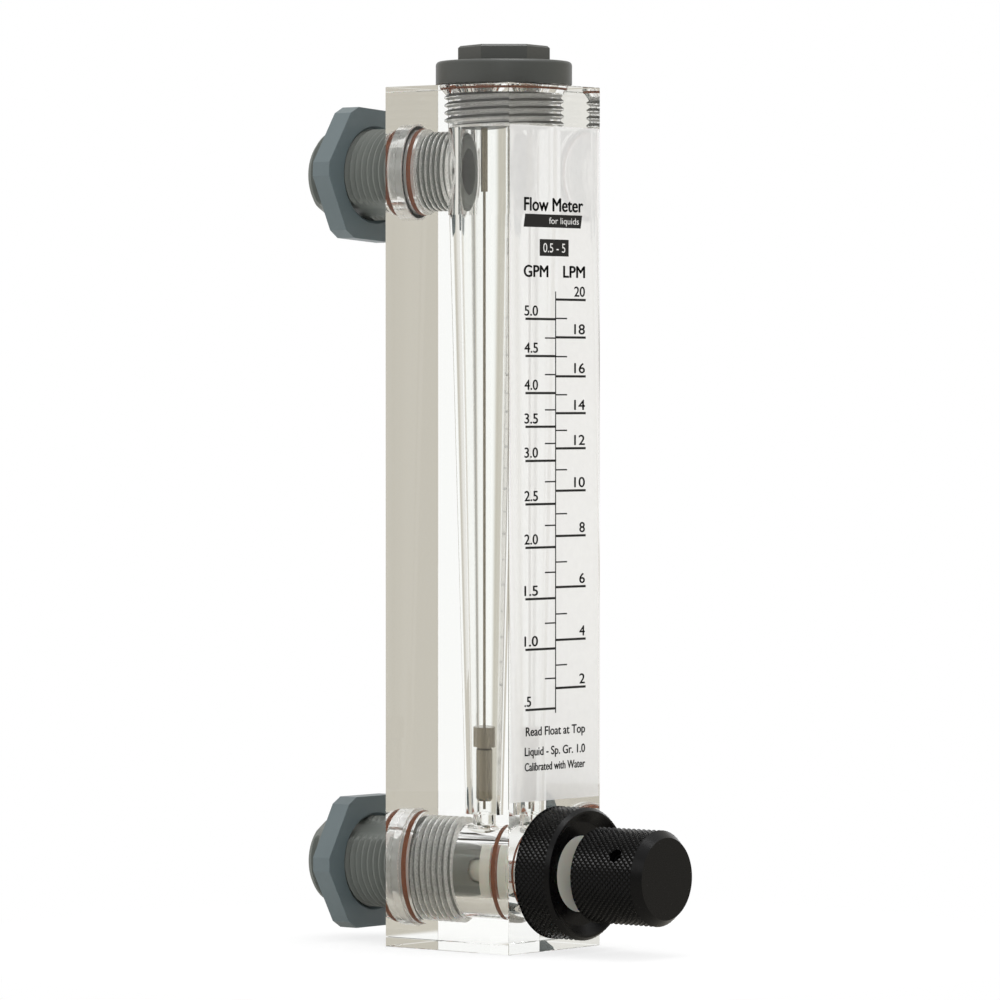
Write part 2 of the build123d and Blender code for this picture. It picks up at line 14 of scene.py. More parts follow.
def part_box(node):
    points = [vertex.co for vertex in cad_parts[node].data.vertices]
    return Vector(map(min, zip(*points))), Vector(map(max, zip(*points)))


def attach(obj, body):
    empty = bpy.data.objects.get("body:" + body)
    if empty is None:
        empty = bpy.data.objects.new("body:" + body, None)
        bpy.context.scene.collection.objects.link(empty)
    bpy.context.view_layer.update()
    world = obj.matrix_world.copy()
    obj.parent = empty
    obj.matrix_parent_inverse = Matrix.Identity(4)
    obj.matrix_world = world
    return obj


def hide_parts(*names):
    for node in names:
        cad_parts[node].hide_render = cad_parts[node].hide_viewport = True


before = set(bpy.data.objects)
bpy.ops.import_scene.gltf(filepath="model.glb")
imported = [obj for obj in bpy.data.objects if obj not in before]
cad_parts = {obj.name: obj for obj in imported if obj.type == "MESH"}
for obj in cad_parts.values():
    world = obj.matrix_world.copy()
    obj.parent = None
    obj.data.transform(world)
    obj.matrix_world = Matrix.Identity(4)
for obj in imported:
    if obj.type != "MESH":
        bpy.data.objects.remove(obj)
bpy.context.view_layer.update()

# %% [markdown]
# ## Sizes that the pieces share
# Every dressed piece has to sit exactly where its solid sits, so the places are read from
# the frame's boxes. What the solids don't hold, such as a thread's pitch, is a real size
# written here: fourteen threads to the inch is 1.814 mm, and sixteen is 1.588 mm.

# %% Shared sizes
MM = 0.001
COARSE_PITCH = 25.4 / 14
FINE_PITCH = 25.4 / 16
THREAD_SHARE = 0.5413  # depth of a 60 degree thread, as a share of its pitch
FIT = 0.05  # room between a screw and its tapped hole


def box_mm(node):
    low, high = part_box(node)
    return low / MM, high / MM


block_low, block_high = box_mm("meter_body")
rod_low, rod_high = box_mm("guide_rod")
METER_Y = (rod_low.y + rod_high.y) / 2
inlet_low, inlet_high = box_mm("inlet_stud")
outlet_low, outlet_high = box_mm("outlet_stud")
VALVE_Z = (inlet_low.z + inlet_high.z) / 2
OUTLET_Z = (outlet_low.z + outlet_high.z) / 2
print("bore axis y %.2f, valve axis z %.2f, outlet axis z %.2f" % (METER_Y, VALVE_Z, OUTLET_Z))

# %% [markdown]
# ## Meshes from numbers
# Turned and threaded pieces are easiest to make as lists of corners and faces. A piece
# is described by its section, and one function says where a radius, an angle and a place
# along the axis lie in space. Edges sharper than an angle stay crisp, all others are smooth.

# %% Axes and a mesh maker
def on_bore(radius, angle, along):
    return (radius * math.cos(angle), METER_Y + radius * math.sin(angle), along)


def on_valve(radius, angle, along):
    return (radius * math.cos(angle), along, VALVE_Z - radius * math.sin(angle))


def on_outlet(radius, angle, along):
    return (radius * math.cos(angle), along, OUTLET_Z - radius * math.sin(angle))


def new_object(name, corners, faces):
    mesh = bpy.data.meshes.new(name)
    mesh.from_pydata(corners, [], faces)
    work = bmesh.new()
    work.from_mesh(mesh)
    bmesh.ops.remove_doubles(work, verts=work.verts, dist=1e-4)
    bmesh.ops.recalc_face_normals(work, faces=work.faces)
    work.to_mesh(mesh)
    work.free()
    thing = bpy.data.objects.new(name, mesh)
    bpy.context.scene.collection.objects.link(thing)
    return thing


def join_shapes(name, shapes):
    """Several (corners, faces) lists as one object, still in millimetres."""
    corners, faces = [], []
    for more_corners, more_faces in shapes:
        first = len(corners)
        corners += more_corners
        faces += [[first + i for i in face] for face in more_faces]
    return new_object(name, corners, faces)


def finish_piece(thing, material, body, replaces=(), sharp=32):
    """To metres, smooth with crisp corners, painted, and riding on its body."""
    thing.data.transform(Matrix.Scale(MM, 4))
    thing.data.shade_smooth()
    thing.data.set_sharp_from_angle(angle=math.radians(sharp))
    thing.data.materials.clear()
    thing.data.materials.append(material)
    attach(thing, body)
    if replaces:
        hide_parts(*replaces)
    print(thing.name, len(thing.data.polygons), "faces")
    return thing


# %% Turned shapes
def turned(place, section, segments=128):
    """Turns a closed section of (radius, along) points round an axis."""
    corners, rings = [], []
    for radius, along in section:
        if radius < 1e-6:
            rings.append([len(corners)] * segments)
            corners.append(place(0, 0, along))
        else:
            rings.append(list(range(len(corners), len(corners) + segments)))
            corners += [place(radius, 2 * math.pi * i / segments, along) for i in range(segments)]
    faces = []
    for this, following in zip(rings, rings[1:] + rings[:1]):
        for i in range(segments):
            j = (i + 1) % segments
            face = list(dict.fromkeys([this[i], this[j], following[j], following[i]]))
            if len(face) > 2:
                faces.append(face)
    return corners, faces


# %% [markdown]
# ## Screw threads
# A real thread is one groove that climbs round the axis. A picture of rings would do from
# far away, but the acrylic magnifies the slope of each turn, so the groove is built as a
# true right-hand helix: a 60 degree V with a flat crest and root. The height fades in over
# a millimetre at each end, the way a die starts its cut.

# %% Helical thread
def screw_thread(place, start, end, crest, root, inner, pitch=COARSE_PITCH, segments=128, lead=1.0):
    """A closed sleeve with a right-hand helical thread on its outside.

    Rows of corners climb with the helix. Corners that would pass an end are held at it,
    where the groove has faded out, so both ends come out flat.
    """
    steps = ((0.0, root), (0.25, root), (0.5625, crest), (0.6875, crest))  # along one pitch
    turns = math.ceil((end - start) / pitch) + 1
    rows = [(turn + at - 1, radius) for turn in range(turns) for at, radius in steps] + [(turns - 1, root)]
    corners, grid = [], []
    for turn, radius in rows:
        grid.append([])
        for i in range(segments):
            along = min(max(start + (turn + i / segments) * pitch, start), end)
            fade = min(1.0, (along - start) / lead, (end - along) / lead)
            grid[-1].append(len(corners))
            corners.append(place(root + (radius - root) * fade, 2 * math.pi * i / segments, along))
    last = len(rows) - 1
    faces = []
    for k in range(last):
        for i in range(segments - 1):
            faces.append([grid[k][i], grid[k][i + 1], grid[k + 1][i + 1], grid[k + 1][i]])
        low, high = min(k + len(steps), last), min(k + 1 + len(steps), last)
        faces.append([grid[k][-1], grid[low][0], grid[high][0], grid[k + 1][-1]])
    rings = [grid[last]]
    for along in (end, start):
        rings.append(list(range(len(corners), len(corners) + segments)))
        corners += [place(inner, 2 * math.pi * i / segments, along) for i in range(segments)]
    rings.append(grid[0])
    for this, following in zip(rings, rings[1:]):
        for i in range(segments):
            j = (i + 1) % segments
            faces.append([this[i], this[j], following[j], following[i]])
    return corners, faces


# %% [markdown]
# ## Diamond knurling
# A knurling wheel rolls two crossing sets of grooves, which leaves small pyramids. Each
# pyramid is four triangles here, so thousands of them stay light. One pyramid is about a
# millimetre and a half across, counted round the ring in the picture.

# %% Knurled sleeve
KNURL_SIZE = 1.45


def knurled(place, start, end, crest, depth, inner):
    """A closed sleeve with a diamond pattern of pyramids on its outside."""
    count = round(2 * math.pi * crest / KNURL_SIZE)
    rows = 2 * round((end - start) / KNURL_SIZE)
    valley = crest - depth
    corners, low_points, peaks = [], [], []

    def add(radius, turn, row):
        corners.append(place(radius, 2 * math.pi * turn / count, start + (end - start) * row / rows))
        return len(corners) - 1

    for row in range(rows + 1):
        shift = 0.5 * (row % 2)
        low_points.append([add(valley, i + shift, row) for i in range(count)])
        peaks.append([add(crest, i + shift + 0.5, row) for i in range(count)])
    faces = []
    for row in range(rows + 1):
        for i in range(count):
            left, right, peak = low_points[row][i], low_points[row][(i + 1) % count], peaks[row][i]
            beside = (i + row % 2) % count
            if row > 0:
                faces += [[left, low_points[row - 1][beside], peak], [low_points[row - 1][beside], right, peak]]
            if row < rows:
                faces += [[left, peak, low_points[row + 1][beside]], [low_points[row + 1][beside], peak, right]]
    ends = []
    for row in (0, rows):
        shift = 0.5 * (row % 2)
        rim = [p for pair in zip(low_points[row], peaks[row]) for p in pair]
        ring = [add(inner, k / 2 + shift, row) for k in range(2 * count)]
        for k in range(2 * count):
            n = (k + 1) % (2 * count)
            faces.append([rim[k], rim[n], ring[n], ring[k]])
        ends.append(ring)
    for k in range(2 * count):
        n = (k + 1) % (2 * count)
        faces.append([ends[0][k], ends[0][n], ends[1][n], ends[1][k]])
    return corners, faces


# %% [markdown]
# ## Materials
# Each finish starts from what it is made of. Colours are written as sRGB hex, the way a
# colour chart gives them, and one function turns them to the linear values that the
# renderer adds up. One more function adds a node with its settings and links.

# %% Colour and node helpers
def linear(hex_colour):
    values = [int(hex_colour[i : i + 2], 16) / 255 for i in (0, 2, 4)]
    return [v / 12.92 if v <= 0.04045 else ((v + 0.055) / 1.055) ** 2.4 for v in values] + [1.0]


def add_node(tree, kind, settings=None, links=None):
    """Adds a node. Settings are attributes or socket values, links go into its sockets."""
    node = tree.nodes.new(kind)
    for key, value in (settings or {}).items():
        if isinstance(key, str) and hasattr(node, key):
            setattr(node, key, value)
        else:
            node.inputs[key].default_value = value
    for key, source in (links or {}).items():
        tree.links.new(source, node.inputs[key])
    return node


def surface(name, colour, roughness, metallic=0.0, **more):
    """A Principled material with its own tree, ready for pattern nodes."""
    material = bpy.data.materials.new(name)
    material.use_nodes = True
    shader = material.node_tree.nodes["Principled BSDF"]
    shader.inputs["Base Color"].default_value = linear(colour)
    shader.inputs["Roughness"].default_value = roughness
    shader.inputs["Metallic"].default_value = metallic
    for key, value in more.items():
        shader.inputs[key.replace("_", " ")].default_value = value
    print("material:", name)
    return material, material.node_tree, shader


# %% [markdown]
# ### Patterns
# Nothing real is perfectly even. Every unevenness here starts from noise that is fixed to
# the piece, with the width of its spots in millimetres. It then tints a colour, moves a
# value up and down, or lifts the surface.

# %% Uneven colour, value and height
NOISE_LOW, NOISE_HIGH = 0.3, 0.7  # nearly all of the noise lies between these


def grain(tree, width, detail=2.0):
    """Noise that is fixed to the piece, with spots about this many millimetres wide."""
    coords = add_node(tree, "ShaderNodeTexCoord")
    settings = {"Scale": 1 / (width * MM), "Detail": detail}
    return add_node(tree, "ShaderNodeTexNoise", settings, {"Vector": coords.outputs["Object"]}).outputs["Fac"]


def wandering(tree, width, low, high, detail=2.0):
    """A value that goes from low to high and back with the noise."""
    settings = {"From Min": NOISE_LOW, "From Max": NOISE_HIGH, "To Min": low, "To Max": high}
    source = {"Value": grain(tree, width, detail)}
    return add_node(tree, "ShaderNodeMapRange", settings, source).outputs["Result"]


def mixed(tree, share, first, second):
    """Blends two colours, each a hex value or the output of another node."""
    blend = add_node(tree, "ShaderNodeMix", {"data_type": "RGBA"}, {0: share})
    for socket, colour in ((6, first), (7, second)):
        if isinstance(colour, str):
            blend.inputs[socket].default_value = linear(colour)
        else:
            tree.links.new(colour, blend.inputs[socket])
    return blend.outputs[2]


def raised(tree, shader, height, strength, depth):
    """Lifts the surface by a pattern, up to this many millimetres."""
    settings = {"Strength": strength, "Distance": depth * MM}
    bump = add_node(tree, "ShaderNodeBump", settings, {"Height": height})
    tree.links.new(bump.outputs["Normal"], shader.inputs["Normal"])


# %% [markdown]
# ### Cast acrylic, polished
# Cast acrylic (PMMA) is clear glass-like plastic with an index of 1.49. Polishing takes the
# milling marks off, so it needs no roughness: all its looks come from bending light.

# %% Acrylic
ACRYLIC_IOR = 1.49
MOST_TURNS = 4.5  # between the fourth turn and the fifth


def let_light_out(tree, shader):
    """After four turns inside the block a ray leaves it, as the long way out would let it."""
    path = add_node(tree, "ShaderNodeLightPath")
    settings = {"operation": "GREATER_THAN", 1: MOST_TURNS}
    tired = add_node(tree, "ShaderNodeMath", settings, {0: path.outputs["Ray Depth"]})
    out = add_node(tree, "ShaderNodeBsdfTransparent")
    ways = {0: tired.outputs["Value"], 1: shader.outputs["BSDF"], 2: out.outputs["BSDF"]}
    blend = add_node(tree, "ShaderNodeMixShader", {}, ways)
    tree.links.new(blend.outputs["Shader"], tree.nodes["Material Output"].inputs["Surface"])


acrylic, tree, shader = surface("cast_acrylic_polished", "FDFEFC", 0.0, Transmission_Weight=1.0, IOR=ACRYLIC_IOR)
let_light_out(tree, shader)

# %% [markdown]
# ### Tapped acrylic
# A tap leaves acrylic less smooth than a polisher does, so the threads scatter part of the
# light and get a fine grain in their roughness. The rest is still bent and mirrored, which
# draws the bright lines. The flanks are torn more than the flats, and scatter more.

# %% Tapped acrylic
acrylic_tapped, tree, shader = surface(
    "cast_acrylic_tapped", "FFFEFB", 0.05, Transmission_Weight=0.62, IOR=ACRYLIC_IOR
)
tree.links.new(wandering(tree, 0.5, 0.0, 0.1), shader.inputs["Roughness"])
let_light_out(tree, shader)

acrylic_torn, tree, shader = surface(
    "cast_acrylic_torn_flank", "FFFEFB", 0.15, Transmission_Weight=0.3, IOR=ACRYLIC_IOR
)
tree.links.new(wandering(tree, 0.4, 0.1, 0.5, detail=3.0), shader.inputs["Transmission Weight"])
let_light_out(tree, shader)

# %% [markdown]
# ### Gray PVC
# The studs and plug are turned from gray PVC bar, and the nuts are moulded in a bluer gray.
# The tool leaves a satin face with very fine marks, drawn here as noise a third of a
# millimetre across, coarser than life so that it shows at all.

# %% PVC
def machined_pvc(name, colour, second_colour):
    material, tree, shader = surface(name, colour, 0.42, IOR=1.53)
    tree.links.new(mixed(tree, grain(tree, 9), colour, second_colour), shader.inputs["Base Color"])
    raised(tree, shader, grain(tree, 0.35, detail=3.0), 0.12, 0.03)
    return material


pvc = machined_pvc("gray_pvc_machined", "747873", "6C706C")
pvc_nut = machined_pvc("gray_pvc_moulded", "647073", "5B676A")
pvc_plug = machined_pvc("dark_gray_pvc_machined", "424441", "3C3E3B")

# %% [markdown]
# ### Fluorocarbon rubber
# The seals are red-brown fluorocarbon rubber, moulded and slightly shiny.

# %% Seal rubber
seal_rubber, tree, shader = surface("fluorocarbon_rubber_moulded", "7F421D", 0.45, IOR=1.5, Specular_IOR_Level=0.3)
tree.links.new(mixed(tree, grain(tree, 1.5), "783C1A", "8A4A24"), shader.inputs["Base Color"])

# %% [markdown]
# ### Stainless steel, turned
# The float, its rod and the stops are 316 stainless, turned in a lathe. The tool's rings run
# round the axis a quarter of a millimetre apart, so the bump follows the height alone.

# %% Stainless steel
RING_SPACING = 0.25
WAVE_UNITS = 20  # the wave texture draws twenty radians of wave in one unit
stainless, tree, shader = surface("stainless_steel_turned", "928A7B", 0.24, metallic=1.0)
coords = add_node(tree, "ShaderNodeTexCoord")
wave_scale = 2 * math.pi / (WAVE_UNITS * RING_SPACING * MM)
settings = {"bands_direction": "Z", "Scale": wave_scale, "Distortion": 0.0}
rings = add_node(tree, "ShaderNodeTexWave", settings, {"Vector": coords.outputs["Object"]})
raised(tree, shader, rings.outputs["Fac"], 0.1, 0.02)

# %% [markdown]
# ### Natural polypropylene
# The valve cartridge and stem are unpigmented plastic, off-white and a little see-through,
# so some light goes in and comes out nearby.

# %% Natural plastic
natural_plastic, tree, shader = surface(
    "natural_polypropylene_machined", "DAD6CA", 0.38, IOR=1.49, Subsurface_Weight=0.25, Subsurface_Scale=4 * MM
)
raised(tree, shader, grain(tree, 0.5), 0.1, 0.03)

# %% [markdown]
# ### Black acetal, knurled
# The ring and the knob are black and satin. The knurl's small faces give the glints, so the
# material itself only needs a little unevenness in its shine.

# %% Black plastic
black_acetal, tree, shader = surface("black_acetal_turned", "060607", 0.3, IOR=1.48, Specular_IOR_Level=0.2)
tree.links.new(wandering(tree, 2.5, 0.22, 0.34, detail=4.0), shader.inputs["Roughness"])

# %% [markdown]
# ### Black oxide steel and screen ink
# The set screw is hardened steel with a black oxide skin. The scale is screen ink, flat
# black and slightly uneven.

# %% Screw steel and ink
black_oxide, tree, shader = surface("black_oxide_steel", "2A2A2C", 0.4, metallic=1.0)
tree.links.new(wandering(tree, 0.8, 0.32, 0.5), shader.inputs["Roughness"])

ink, tree, shader = surface("screen_ink_black", "101012", 0.6, IOR=1.5)
tree.links.new(mixed(tree, grain(tree, 0.6), "0A0A0B", "121214"), shader.inputs["Base Color"])

# %% [markdown]
# ## The acrylic block
# The real block is a bar, drilled and tapped. It is made the same way here: a bar, then one
# cut for each drill and tap. Taps leave a thread inside the acrylic, and that thread is what
# the eye sees through the side. Cuts use the exact solver, in millimetres.

# %% Bar
def bevelled_bar(name, low, high, edge):
    corners = [(x, y, z) for z in (low.z, high.z) for y in (low.y, high.y) for x in (low.x, high.x)]
    faces = [[0, 2, 3, 1], [4, 5, 7, 6], [0, 1, 5, 4], [2, 6, 7, 3], [0, 4, 6, 2], [1, 3, 7, 5]]
    bar = new_object(name, corners, faces)
    work = bmesh.new()
    work.from_mesh(bar.data)
    bmesh.ops.bevel(work, geom=work.edges[:], offset=edge, segments=1, affect="EDGES")
    work.to_mesh(bar.data)
    work.free()
    return bar


BROKEN_EDGE = 0.12
block = bevelled_bar("acrylic_block", block_low, block_high, BROKEN_EDGE)
top, front, rear = block_high.z, block_low.y, block_high.y
print("bar:", len(block.data.polygons), "faces")

# %% Cuts, drills and taps
OVERCUT = 0.1  # a cutter starts this far outside the face it goes into
TAP_SINK = 0.12  # the tap's root lies this far inside the drilled wall
TAP_CORE_R = 4.0
TAP_LEAD = 0.6


def cut(bar, tool):
    step = bar.modifiers.new("cut", "BOOLEAN")
    step.operation, step.solver, step.object = "DIFFERENCE", "EXACT", tool
    bpy.context.view_layer.update()
    graph = bpy.context.evaluated_depsgraph_get()
    left = bpy.data.meshes.new_from_object(bar.evaluated_get(graph))
    bar.modifiers.clear()
    bar.data = left
    bpy.data.objects.remove(tool)


def drill(place, section):
    cut(block, new_object("drill", *turned(place, section)))


def tap(place, start, end, crest, root, pitch=COARSE_PITCH):
    """Cuts a thread with a little room for the screw that goes into it."""
    sleeve = screw_thread(place, start, end, crest + FIT, root - TAP_SINK, TAP_CORE_R, pitch, lead=TAP_LEAD)
    cut(block, new_object("tap", *sleeve))


# %% Metering bore, chamber and plug thread
plug_low, plug_high = box_mm("top_plug")
PLUG_R = 11.11
TAP_R = PLUG_R - THREAD_SHARE * COARSE_PITCH
COUNTERSINK = 1.8
THREAD_STOP = 0.9  # the thread ends this far from the face or shoulder before it
VALVE_BORE_R = 11.4
PASSAGE_R = 3.2
TUBE_BOTTOM_R, TUBE_TOP_R = 5.27, 9.8
CHAMBER_R = 10.1
TUBE_BOTTOM_Z = VALVE_Z + VALVE_BORE_R + 2.2
CHAMBER_FLOOR_Z = OUTLET_Z - 10.6
bore = [
    (0, VALVE_Z),
    (PASSAGE_R, VALVE_Z),
    (PASSAGE_R, TUBE_BOTTOM_Z),
    (TUBE_BOTTOM_R, TUBE_BOTTOM_Z),
    (TUBE_TOP_R, CHAMBER_FLOOR_Z),
    (CHAMBER_R, CHAMBER_FLOOR_Z),
    (CHAMBER_R, plug_low.z),
    (TAP_R, plug_low.z),
    (TAP_R, top - COUNTERSINK - 1.0),
    (PLUG_R + FIT + COUNTERSINK - 0.2, top + OVERCUT),
    (0, top + OVERCUT),
]
drill(on_bore, bore)
tap(on_bore, plug_low.z, top - THREAD_STOP, PLUG_R, TAP_R)
print("after the top:", len(block.data.polygons), "faces")

# %% [markdown]
# Rubber that lies against acrylic wets it, and then the eye sees the rubber itself instead
# of a mirror. So each seal's pocket is cut a little tighter than its seal.

# %% Valve bore and inlet thread
SQUEEZE = 0.2
seal_floor, shoulder = rear - 5.25, rear - 2.15
inlet_end = inlet_low.y
INLET_R = 12.7
INLET_TAP = INLET_R - THREAD_SHARE * COARSE_PITCH
MOUTH_R, MOUTH_DEPTH = 11.9, 3.6
NOSE_SEAL_R = 11.35
nose_seal_near, nose_seal_far = front + 7.1, front + 8.4
INLET_SEAL_R, INLET_SHOULDER_R = 13.7, 14.2
valve_bore = [
    (0, front - OVERCUT),
    (MOUTH_R, front - OVERCUT),
    (MOUTH_R, front + MOUTH_DEPTH),
    (VALVE_BORE_R, front + MOUTH_DEPTH),
    (VALVE_BORE_R, nose_seal_near),
    (NOSE_SEAL_R - SQUEEZE, nose_seal_near),
    (NOSE_SEAL_R - SQUEEZE, nose_seal_far),
    (VALVE_BORE_R, nose_seal_far),
    (VALVE_BORE_R, inlet_end - FIT),
    (INLET_TAP, inlet_end - FIT),
    (INLET_TAP, seal_floor),
    (INLET_SEAL_R - SQUEEZE, seal_floor),
    (INLET_SEAL_R - SQUEEZE, shoulder),
    (INLET_SHOULDER_R, shoulder),
    (INLET_SHOULDER_R, rear + OVERCUT),
    (0, rear + OVERCUT),
]
drill(on_valve, valve_bore)
tap(on_valve, inlet_end, seal_floor + THREAD_STOP, INLET_R, INLET_TAP)
print("after the valve bore:", len(block.data.polygons), "faces")

# %% Outlet bore and thread
outlet_end = outlet_low.y
OUTLET_R = 9.525
OUTLET_TAP = OUTLET_R - THREAD_SHARE * FINE_PITCH
TAP_RUN_OUT = 2.2
OUTLET_SEAL_R, OUTLET_SHOULDER_R = 10.5, 11.61
outlet_bore = [
    (0, METER_Y),
    (OUTLET_TAP, METER_Y),
    (OUTLET_TAP, seal_floor),
    (OUTLET_SEAL_R - SQUEEZE, seal_floor),
    (OUTLET_SEAL_R - SQUEEZE, shoulder),
    (OUTLET_SHOULDER_R, shoulder),
    (OUTLET_SHOULDER_R, rear + OVERCUT),
    (0, rear + OVERCUT),
]
drill(on_outlet, outlet_bore)
tap(on_outlet, outlet_end - TAP_RUN_OUT, seal_floor + THREAD_STOP, OUTLET_R, OUTLET_TAP, FINE_PITCH)
print("after the outlet:", len(block.data.polygons), "faces")
finish_piece(block, acrylic, "meter", ["meter_body"], sharp=28)

# %% Tapped faces get the hazy finish
STEEP = 0.35
NEAR = 0.02


def near_thread(centre, axis, root, crest, low, high):
    """Whether a face centre, in millimetres, lies on a tapped stretch."""
    upright = axis is None
    sideways = Vector((centre.x, centre.y - METER_Y, 0)) if upright else Vector((centre.x, 0, centre.z - axis))
    along = centre.z if upright else centre.y
    return low < along < high and root - 0.2 < sideways.length < crest + 0.1


tapped_stretches = (
    (None, TAP_R, PLUG_R, plug_low.z - 0.1, top - THREAD_STOP),
    (VALVE_Z, INLET_TAP, INLET_R, inlet_end - 0.2, seal_floor - NEAR),
    (OUTLET_Z, OUTLET_TAP, OUTLET_R, outlet_end - TAP_RUN_OUT - 0.2, seal_floor - NEAR),
    (VALVE_Z, INLET_SEAL_R - SQUEEZE, INLET_SHOULDER_R, seal_floor - NEAR, rear - NEAR / 2),
    (OUTLET_Z, OUTLET_TAP, OUTLET_SHOULDER_R, seal_floor - NEAR, rear - NEAR / 2),
)
block.data.materials.append(acrylic_tapped)
block.data.materials.append(acrylic_torn)
counts = [0, 0]
for polygon in block.data.polygons:
    for stretch in tapped_stretches:
        if near_thread(polygon.center / MM, *stretch):
            slope = abs(polygon.normal.z if stretch[0] is None else polygon.normal.y)
            polygon.material_index = 2 if slope > STEEP else 1
            counts[polygon.material_index - 1] += 1
print("flat and sloping thread faces:", counts)

# %% [markdown]
# ## Studs and plug
# Each stud is one turned bar. Its plain core carries a threaded sleeve over each cut
# stretch: the coarse one in the block, and the one that the panel nut runs on. A flat runs
# along each side of the outer thread.

# %% What both studs share
stud_end = inlet_high.y
STUD_R = 11.11
STUD_CORE = STUD_R - THREAD_SHARE * COARSE_PITCH
FLAT_AT = STUD_R - 1.2
BORE_R = 5.55
PORT_R, PORT_DEPTH = 7.35, 14.0
END_CHAMFER = 0.4
OVERLAP = 0.02  # a sleeve's root lies this far inside its core
SLEEVE_GAP = 0.2
OUTER_SLEEVE_R = 9.0
port = [
    (STUD_CORE, stud_end - END_CHAMFER),
    (STUD_CORE - END_CHAMFER, stud_end),
    (PORT_R, stud_end),
    (PORT_R, stud_end - PORT_DEPTH),
    (BORE_R, stud_end - PORT_DEPTH),
]


def outer_thread(place):
    return screw_thread(
        place, rear - FIT, stud_end - SLEEVE_GAP, STUD_R, STUD_CORE - OVERLAP, OUTER_SLEEVE_R, lead=END_CHAMFER
    )


def mill_flats(stud, axis_z, degrees):
    """Presses the outer thread down to two opposite flats."""
    angle = math.radians(degrees)
    outward = Vector((-math.cos(angle), 0, math.sin(angle)))
    for corner in stud.data.vertices:
        if corner.co.y > rear + 0.01:
            reach = (corner.co - Vector((0, 0, axis_z))).dot(outward)
            if abs(reach) > FLAT_AT:
                corner.co -= outward * (reach - math.copysign(FLAT_AT, reach))


# %% Inlet stud
VALVE_SEAT_R, SEAT_DEPTH = 5.35, 4.0
INLET_SEAT_R, INLET_COLLAR_R = 10.65, 13.4
inlet_core = [
    (VALVE_SEAT_R, inlet_end),
    (INLET_TAP - 0.5, inlet_end),
    (INLET_TAP, inlet_end + 0.6),
    (INLET_TAP, seal_floor),
    (INLET_SEAT_R, seal_floor),
    (INLET_SEAT_R, shoulder),
    (INLET_COLLAR_R, shoulder),
    (INLET_COLLAR_R, rear),
    (STUD_CORE, rear),
    *port,
    (BORE_R, inlet_end + SEAT_DEPTH),
    (VALVE_SEAT_R, inlet_end + SEAT_DEPTH),
]
inlet_thread = screw_thread(
    on_valve, inlet_end + SLEEVE_GAP, seal_floor - SLEEVE_GAP, INLET_R, INLET_TAP - OVERLAP, 9.0
)
inlet_stud = join_shapes("inlet_stud_threaded", [turned(on_valve, inlet_core), inlet_thread, outer_thread(on_valve)])
mill_flats(inlet_stud, VALVE_Z, 57)
finish_piece(inlet_stud, pvc, "meter", ["inlet_stud"])

# %% Outlet stud
OUTLET_SEAT_R = 7.75
outlet_core = [
    (BORE_R, outlet_end),
    (OUTLET_TAP - 0.5, outlet_end),
    (OUTLET_TAP, outlet_end + 0.5),
    (OUTLET_TAP, seal_floor),
    (OUTLET_SEAT_R, seal_floor),
    (OUTLET_SEAT_R, shoulder),
    (STUD_R, shoulder),
    (STUD_R, rear - FIT),
    (STUD_CORE, rear - FIT),
    *port,
]
outlet_thread = screw_thread(
    on_outlet, outlet_end + SLEEVE_GAP, seal_floor - SLEEVE_GAP, OUTLET_R, OUTLET_TAP - OVERLAP, 7.0, FINE_PITCH
)
outlet_stud = join_shapes(
    "outlet_stud_threaded", [turned(on_outlet, outlet_core), outlet_thread, outer_thread(on_outlet)]
)
mill_flats(outlet_stud, OUTLET_Z, -62)
finish_piece(outlet_stud, pvc, "meter", ["outlet_stud"])

# %% Top plug: turned part
FLANGE_R = (plug_high.x - plug_low.x) / 2
FLANGE_ROUND = 1.0
ROD_HOLE_R, ROD_HOLE_DEPTH = 0.625, 8
flange_z = top + 0.3
head_z = plug_high.z - 3.8
plug_core = [
    (0, plug_low.z + ROD_HOLE_DEPTH),
    (ROD_HOLE_R, plug_low.z + ROD_HOLE_DEPTH),
    (ROD_HOLE_R, plug_low.z),
    (TAP_R - 0.6, plug_low.z),
    (TAP_R - 0.1, plug_low.z + 0.5),
    (TAP_R - 0.1, flange_z),
    (FLANGE_R - 0.2, flange_z),
    (FLANGE_R, flange_z + 0.2),
]
round_steps = 6
for step in range(round_steps + 1):
    angle = math.pi / 2 * step / round_steps
    radius = FLANGE_R - FLANGE_ROUND + FLANGE_ROUND * math.cos(angle)
    plug_core.append((radius, head_z - FLANGE_ROUND + FLANGE_ROUND * math.sin(angle)))
plug_core.append((0, head_z))
print("plug flange radius %.2f, head from %.2f to %.2f" % (FLANGE_R, head_z, plug_high.z))

# %% Top plug: hexagon head
HEX_FLAT = 19.05 / 2
HEX_CHAMFER = 0.5
hex_corner = HEX_FLAT / math.cos(math.pi / 6)
hex_turn = math.radians(9)
hex_levels = (
    (hex_corner, head_z - 0.5),
    (hex_corner, plug_high.z - HEX_CHAMFER),
    (hex_corner - 0.58, plug_high.z),
)
hex_corners = [
    on_bore(radius, hex_turn + math.pi / 3 * i, height) for radius, height in hex_levels for i in range(6)
]
hex_faces = [
    [6 * k + i, 6 * k + (i + 1) % 6, 6 * k + 6 + (i + 1) % 6, 6 * k + 6 + i] for k in range(2) for i in range(6)
]
hex_faces += [list(range(5, -1, -1)), list(range(12, 18))]
plug_thread = screw_thread(on_bore, plug_low.z + SLEEVE_GAP, flange_z - 1.3, PLUG_R, TAP_R - 0.12, 6.0)
plug = join_shapes("top_plug_threaded", [turned(on_bore, plug_core), plug_thread, (hex_corners, hex_faces)])
finish_piece(plug, pvc_plug, "meter", ["top_plug"])

# %% [markdown]
# ## Knurled ring and knob
# Both are turned bodies with a knurled sleeve on the outside. The knurl stops short of the
# chamfers, as the wheel does. The ring's front is dished, and the knob's back turns in it.

